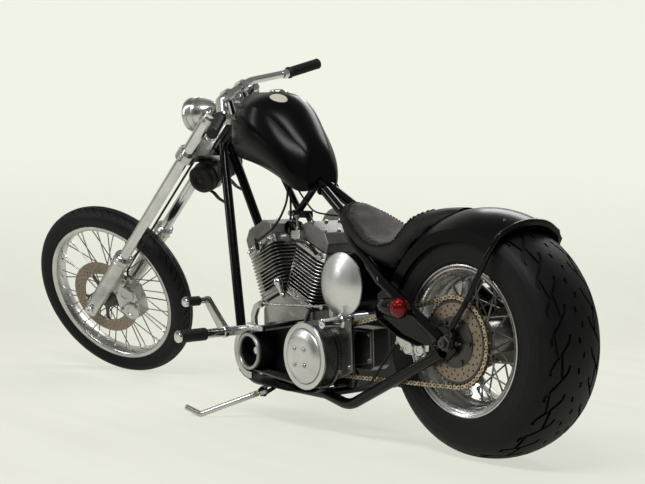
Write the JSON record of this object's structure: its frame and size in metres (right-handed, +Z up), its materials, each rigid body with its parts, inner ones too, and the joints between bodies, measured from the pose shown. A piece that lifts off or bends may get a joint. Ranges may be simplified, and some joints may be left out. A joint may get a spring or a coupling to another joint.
{
  "type": "motorcycle",
  "caption": "Long chopper motorcycle with raked fork, teardrop tank, open V-twin engine, belt primary and a very wide rear tyre, leaning on its side stand.",
  "frame": {"origin": "on the floor, at the middle of the standing bike's box", "axes": "+X towards the front wheel, +Y to the rider's left, +Z up from the floor"},
  "size_m": [2.655, 0.8601, 1.1811],
  "materials": {
    "black_leather": "black leather",
    "black_part": "black",
    "black_tube": "gloss black paint",
    "cast": "cast and machined aluminium",
    "chrome": "bright chrome",
    "clear_glass": "clear lens",
    "cream": "cream enamel",
    "gold": "gold plated steel",
    "lamp_black": "black lamp shells",
    "leather": "dark brown leather",
    "polished": "polished aluminium",
    "red_glass": "red lens",
    "rotor": "bronze coloured steel",
    "rubber": "black rubber",
    "satin_black": "satin black paint",
    "steel": "machined steel",
    "tyre": "black tyre rubber"
  },
  "bodies": {
    "frame": {"frame_backbone": "black_tube", "frame_cradle": "black_tube", "frame_rear_rails": "black_tube", "rear_axle": "steel", "fuel_tank": "satin_black", "filler_cap": "cream", "seat": "leather", "rear_fender": "satin_black", "tail_lamps": "lamp_black", "oil_tank": "satin_black", "oil_tank_caps": "polished", "engine_cases": "cast", "engine_cylinders": "cast", "rocker_boxes": "polished", "air_cleaner": "polished", "exhaust_pipes": "chrome", "gearbox": "cast", "motor_plate": "polished", "primary_pulleys": "black_part", "primary_belt": "rubber", "clutch_cover": "polished", "drive_chain": "gold", "rear_caliper": "polished", "foot_controls": "polished", "rear_brake_hose": "rubber", "belt_guard": "polished"},
    "fork": {"fork_tubes": "chrome", "fork_sliders": "polished", "front_axle": "steel", "triple_trees": "polished", "handlebar": "chrome", "grips": "rubber", "headlamp": "chrome", "tool_roll": "black_leather", "front_caliper": "polished", "front_brake_hose": "rubber"},
    "front_wheel": {"front_tyre": "tyre", "front_rim": "polished", "front_hub_and_spokes": "polished", "front_brake_disc": "rotor"},
    "rear_wheel": {"rear_tyre": "tyre", "rear_rim": "polished", "rear_hub_and_spokes": "polished", "rear_sprocket_rotor": "rotor"},
    "stand": {"side_stand": "chrome"}
  },
  "joints": [
    {"name": "steering", "type": "hinge", "parent": "frame", "child": "fork", "pos_m": [0.23596, 0.03848, 0.90749], "axis": [-0.7592, 0.0397, 0.6497], "range_deg": [-58, 0]},
    {"name": "front_wheel_spin", "type": "hinge", "parent": "fork", "child": "front_wheel", "pos_m": [0.99608, 0.02918, 0.31863], "axis": [-0.3156, 0.8505, -0.4208], "continuous": true},
    {"name": "rear_wheel_spin", "type": "hinge", "parent": "frame", "child": "rear_wheel", "pos_m": [-0.99952, 0.00302, 0.32771], "axis": [0, 0.9981, -0.061], "continuous": true},
    {"name": "side_stand_fold", "type": "hinge", "parent": "frame", "child": "stand", "pos_m": [-0.17794, 0.16449, 0.08467], "axis": [0.0942, 0.4084, 0.9079], "range_deg": [0, 100]}
  ]
}
